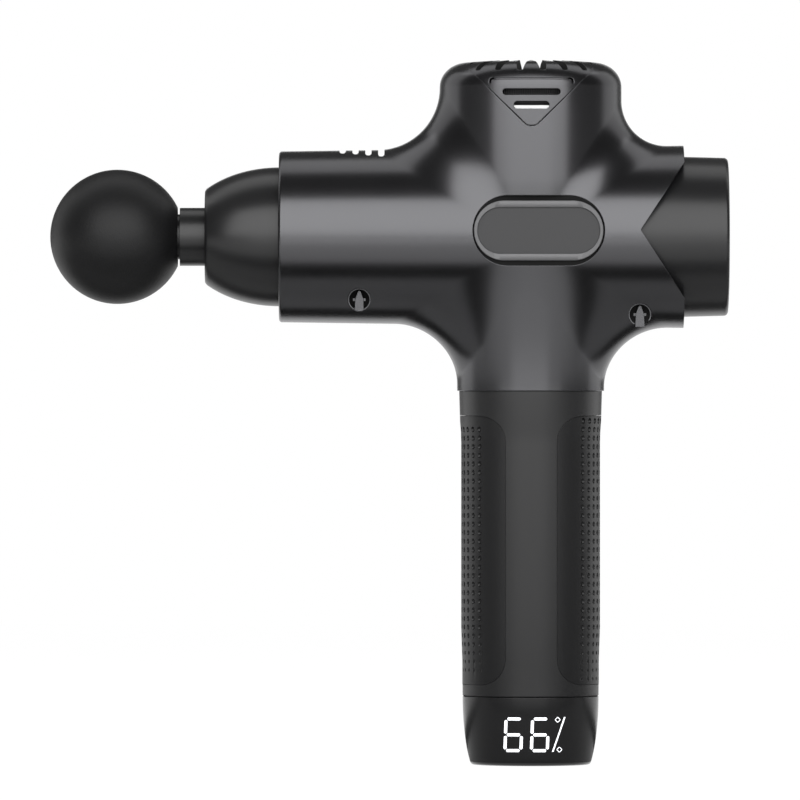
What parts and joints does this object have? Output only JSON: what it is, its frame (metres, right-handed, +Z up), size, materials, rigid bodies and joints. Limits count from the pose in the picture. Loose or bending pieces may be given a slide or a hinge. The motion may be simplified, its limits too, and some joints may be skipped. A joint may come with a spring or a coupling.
{
  "type": "massage gun",
  "caption": "Cordless percussion massage gun with a foam ball head, a T-shaped housing and a battery handle.",
  "frame": {"origin": "centre of the foot's flat underside, on the handle axis", "axes": "+Z up along the handle, -X towards the ball head along the barrel, +Y to the right shell"},
  "size_m": [0.2376, 0.0636, 0.2465],
  "materials": {
    "foam_black": "matte closed-cell foam",
    "nylon_black": "matte moulded nylon",
    "rubber_black": "dimpled soft rubber",
    "shell_graphite": "satin moulded ABS",
    "bezel_grey": "satin",
    "badge_grey": "satin",
    "mesh_steel": "woven mesh",
    "zinc_steel": "ground",
    "panel_gloss": "glossy",
    "key_grey": "satin",
    "light_white": "lit",
    "board_green": "solder mask",
    "cast_alloy": "die-cast",
    "copper_wire": "enamelled copper",
    "bush_bronze": "sintered",
    "cell_wrap": null,
    "holder_ivory": "moulded"
  },
  "bodies": {
    "body": {"nose_cone": "nylon_black", "nose_seal": "rubber_black", "housing_left": "shell_graphite", "housing_right": "shell_graphite", "left_bezel": "bezel_grey", "left_badge": "badge_grey", "right_bezel": "bezel_grey", "right_badge": "badge_grey", "top_vent_cover": "shell_graphite", "vent_mesh": "mesh_steel", "housing_screws": "zinc_steel", "rear_cap": "nylon_black", "control_panel": "panel_gloss", "level_lights": "light_white", "control_board": "board_green", "drive_board": "board_green", "drive_frame": "cast_alloy", "motor_mount": "cast_alloy", "motor_stator": "cast_alloy", "motor_windings": "copper_wire", "motor_bearings": "zinc_steel", "plunger_bush": "bush_bronze", "tail_bush": "bush_bronze", "guide_tube": "cast_alloy", "handle_tube": "shell_graphite", "front_grip": "rubber_black", "rear_grip": "rubber_black", "battery_cells": "cell_wrap", "cell_holders": "holder_ivory", "battery_straps": "zinc_steel", "battery_board": "board_green", "base_cap": "panel_gloss", "display_digits": "light_white", "display_board": "board_green", "bottom_plate": "nylon_black", "charge_jack": "nylon_black", "jack_pin": "zinc_steel", "switch_frame": "nylon_black"},
    "crank": {"motor_rotor": "cast_alloy", "rotor_magnets": "cast_alloy", "motor_shaft": "zinc_steel", "cooling_fan": "nylon_black", "crank_disc": "cast_alloy", "crank_pin": "zinc_steel"},
    "roller": {"crank_roller": "zinc_steel"},
    "plunger": {"yoke": "cast_alloy", "plunger_rod": "zinc_steel", "plunger_sleeve": "cast_alloy"},
    "head": {"ball_head": "foam_black", "head_stem": "nylon_black", "stem_o_rings": "rubber_black"},
    "power_button": {"power_button": "key_grey"},
    "plus_key": {"plus_key": "key_grey"},
    "minus_key": {"minus_key": "key_grey"},
    "power_rocker": {"power_rocker": "nylon_black"}
  },
  "joints": [
    {"name": "crank_spin", "type": "hinge", "parent": "body", "child": "crank", "pos_m": [0, 0, 0.1846], "axis": [0, 0, 1], "range_deg": [-90, 90]},
    {"name": "roller_spin", "type": "hinge", "parent": "crank", "child": "roller", "pos_m": [0, 0.006, 0.1846], "axis": [0, 0, 1], "continuous": true},
    {"name": "plunger_slide", "type": "slide", "parent": "body", "child": "plunger", "axis": [-1, 0, 0], "range_m": [-0.006, 0.006]},
    {"name": "head_pull", "type": "slide", "parent": "plunger", "child": "head", "axis": [-1, 0, 0], "range_m": [0, 0.03]},
    {"name": "power_button_press", "type": "slide", "parent": "body", "child": "power_button", "axis": [-1, 0, 0], "range_m": [0, 0.0008], "stiffness_N_per_m": 1500, "springref_m": -0.0003},
    {"name": "plus_key_press", "type": "slide", "parent": "body", "child": "plus_key", "axis": [-1, 0, 0], "range_m": [0, 0.0008], "stiffness_N_per_m": 1200, "springref_m": -0.0003},
    {"name": "minus_key_press", "type": "slide", "parent": "body", "child": "minus_key", "axis": [-1, 0, 0], "range_m": [0, 0.0008], "stiffness_N_per_m": 1200, "springref_m": -0.0003},
    {"name": "power_rocker_tilt", "type": "hinge", "parent": "body", "child": "power_rocker", "pos_m": [0.007, 0, 0.004], "axis": [1, 0, 0], "range_deg": [-14, 0]}
  ],
  "couplings": [
    {"joint": "crank_spin", "follows": "plunger_slide", "rad_per_m": 261.8}
  ]
}
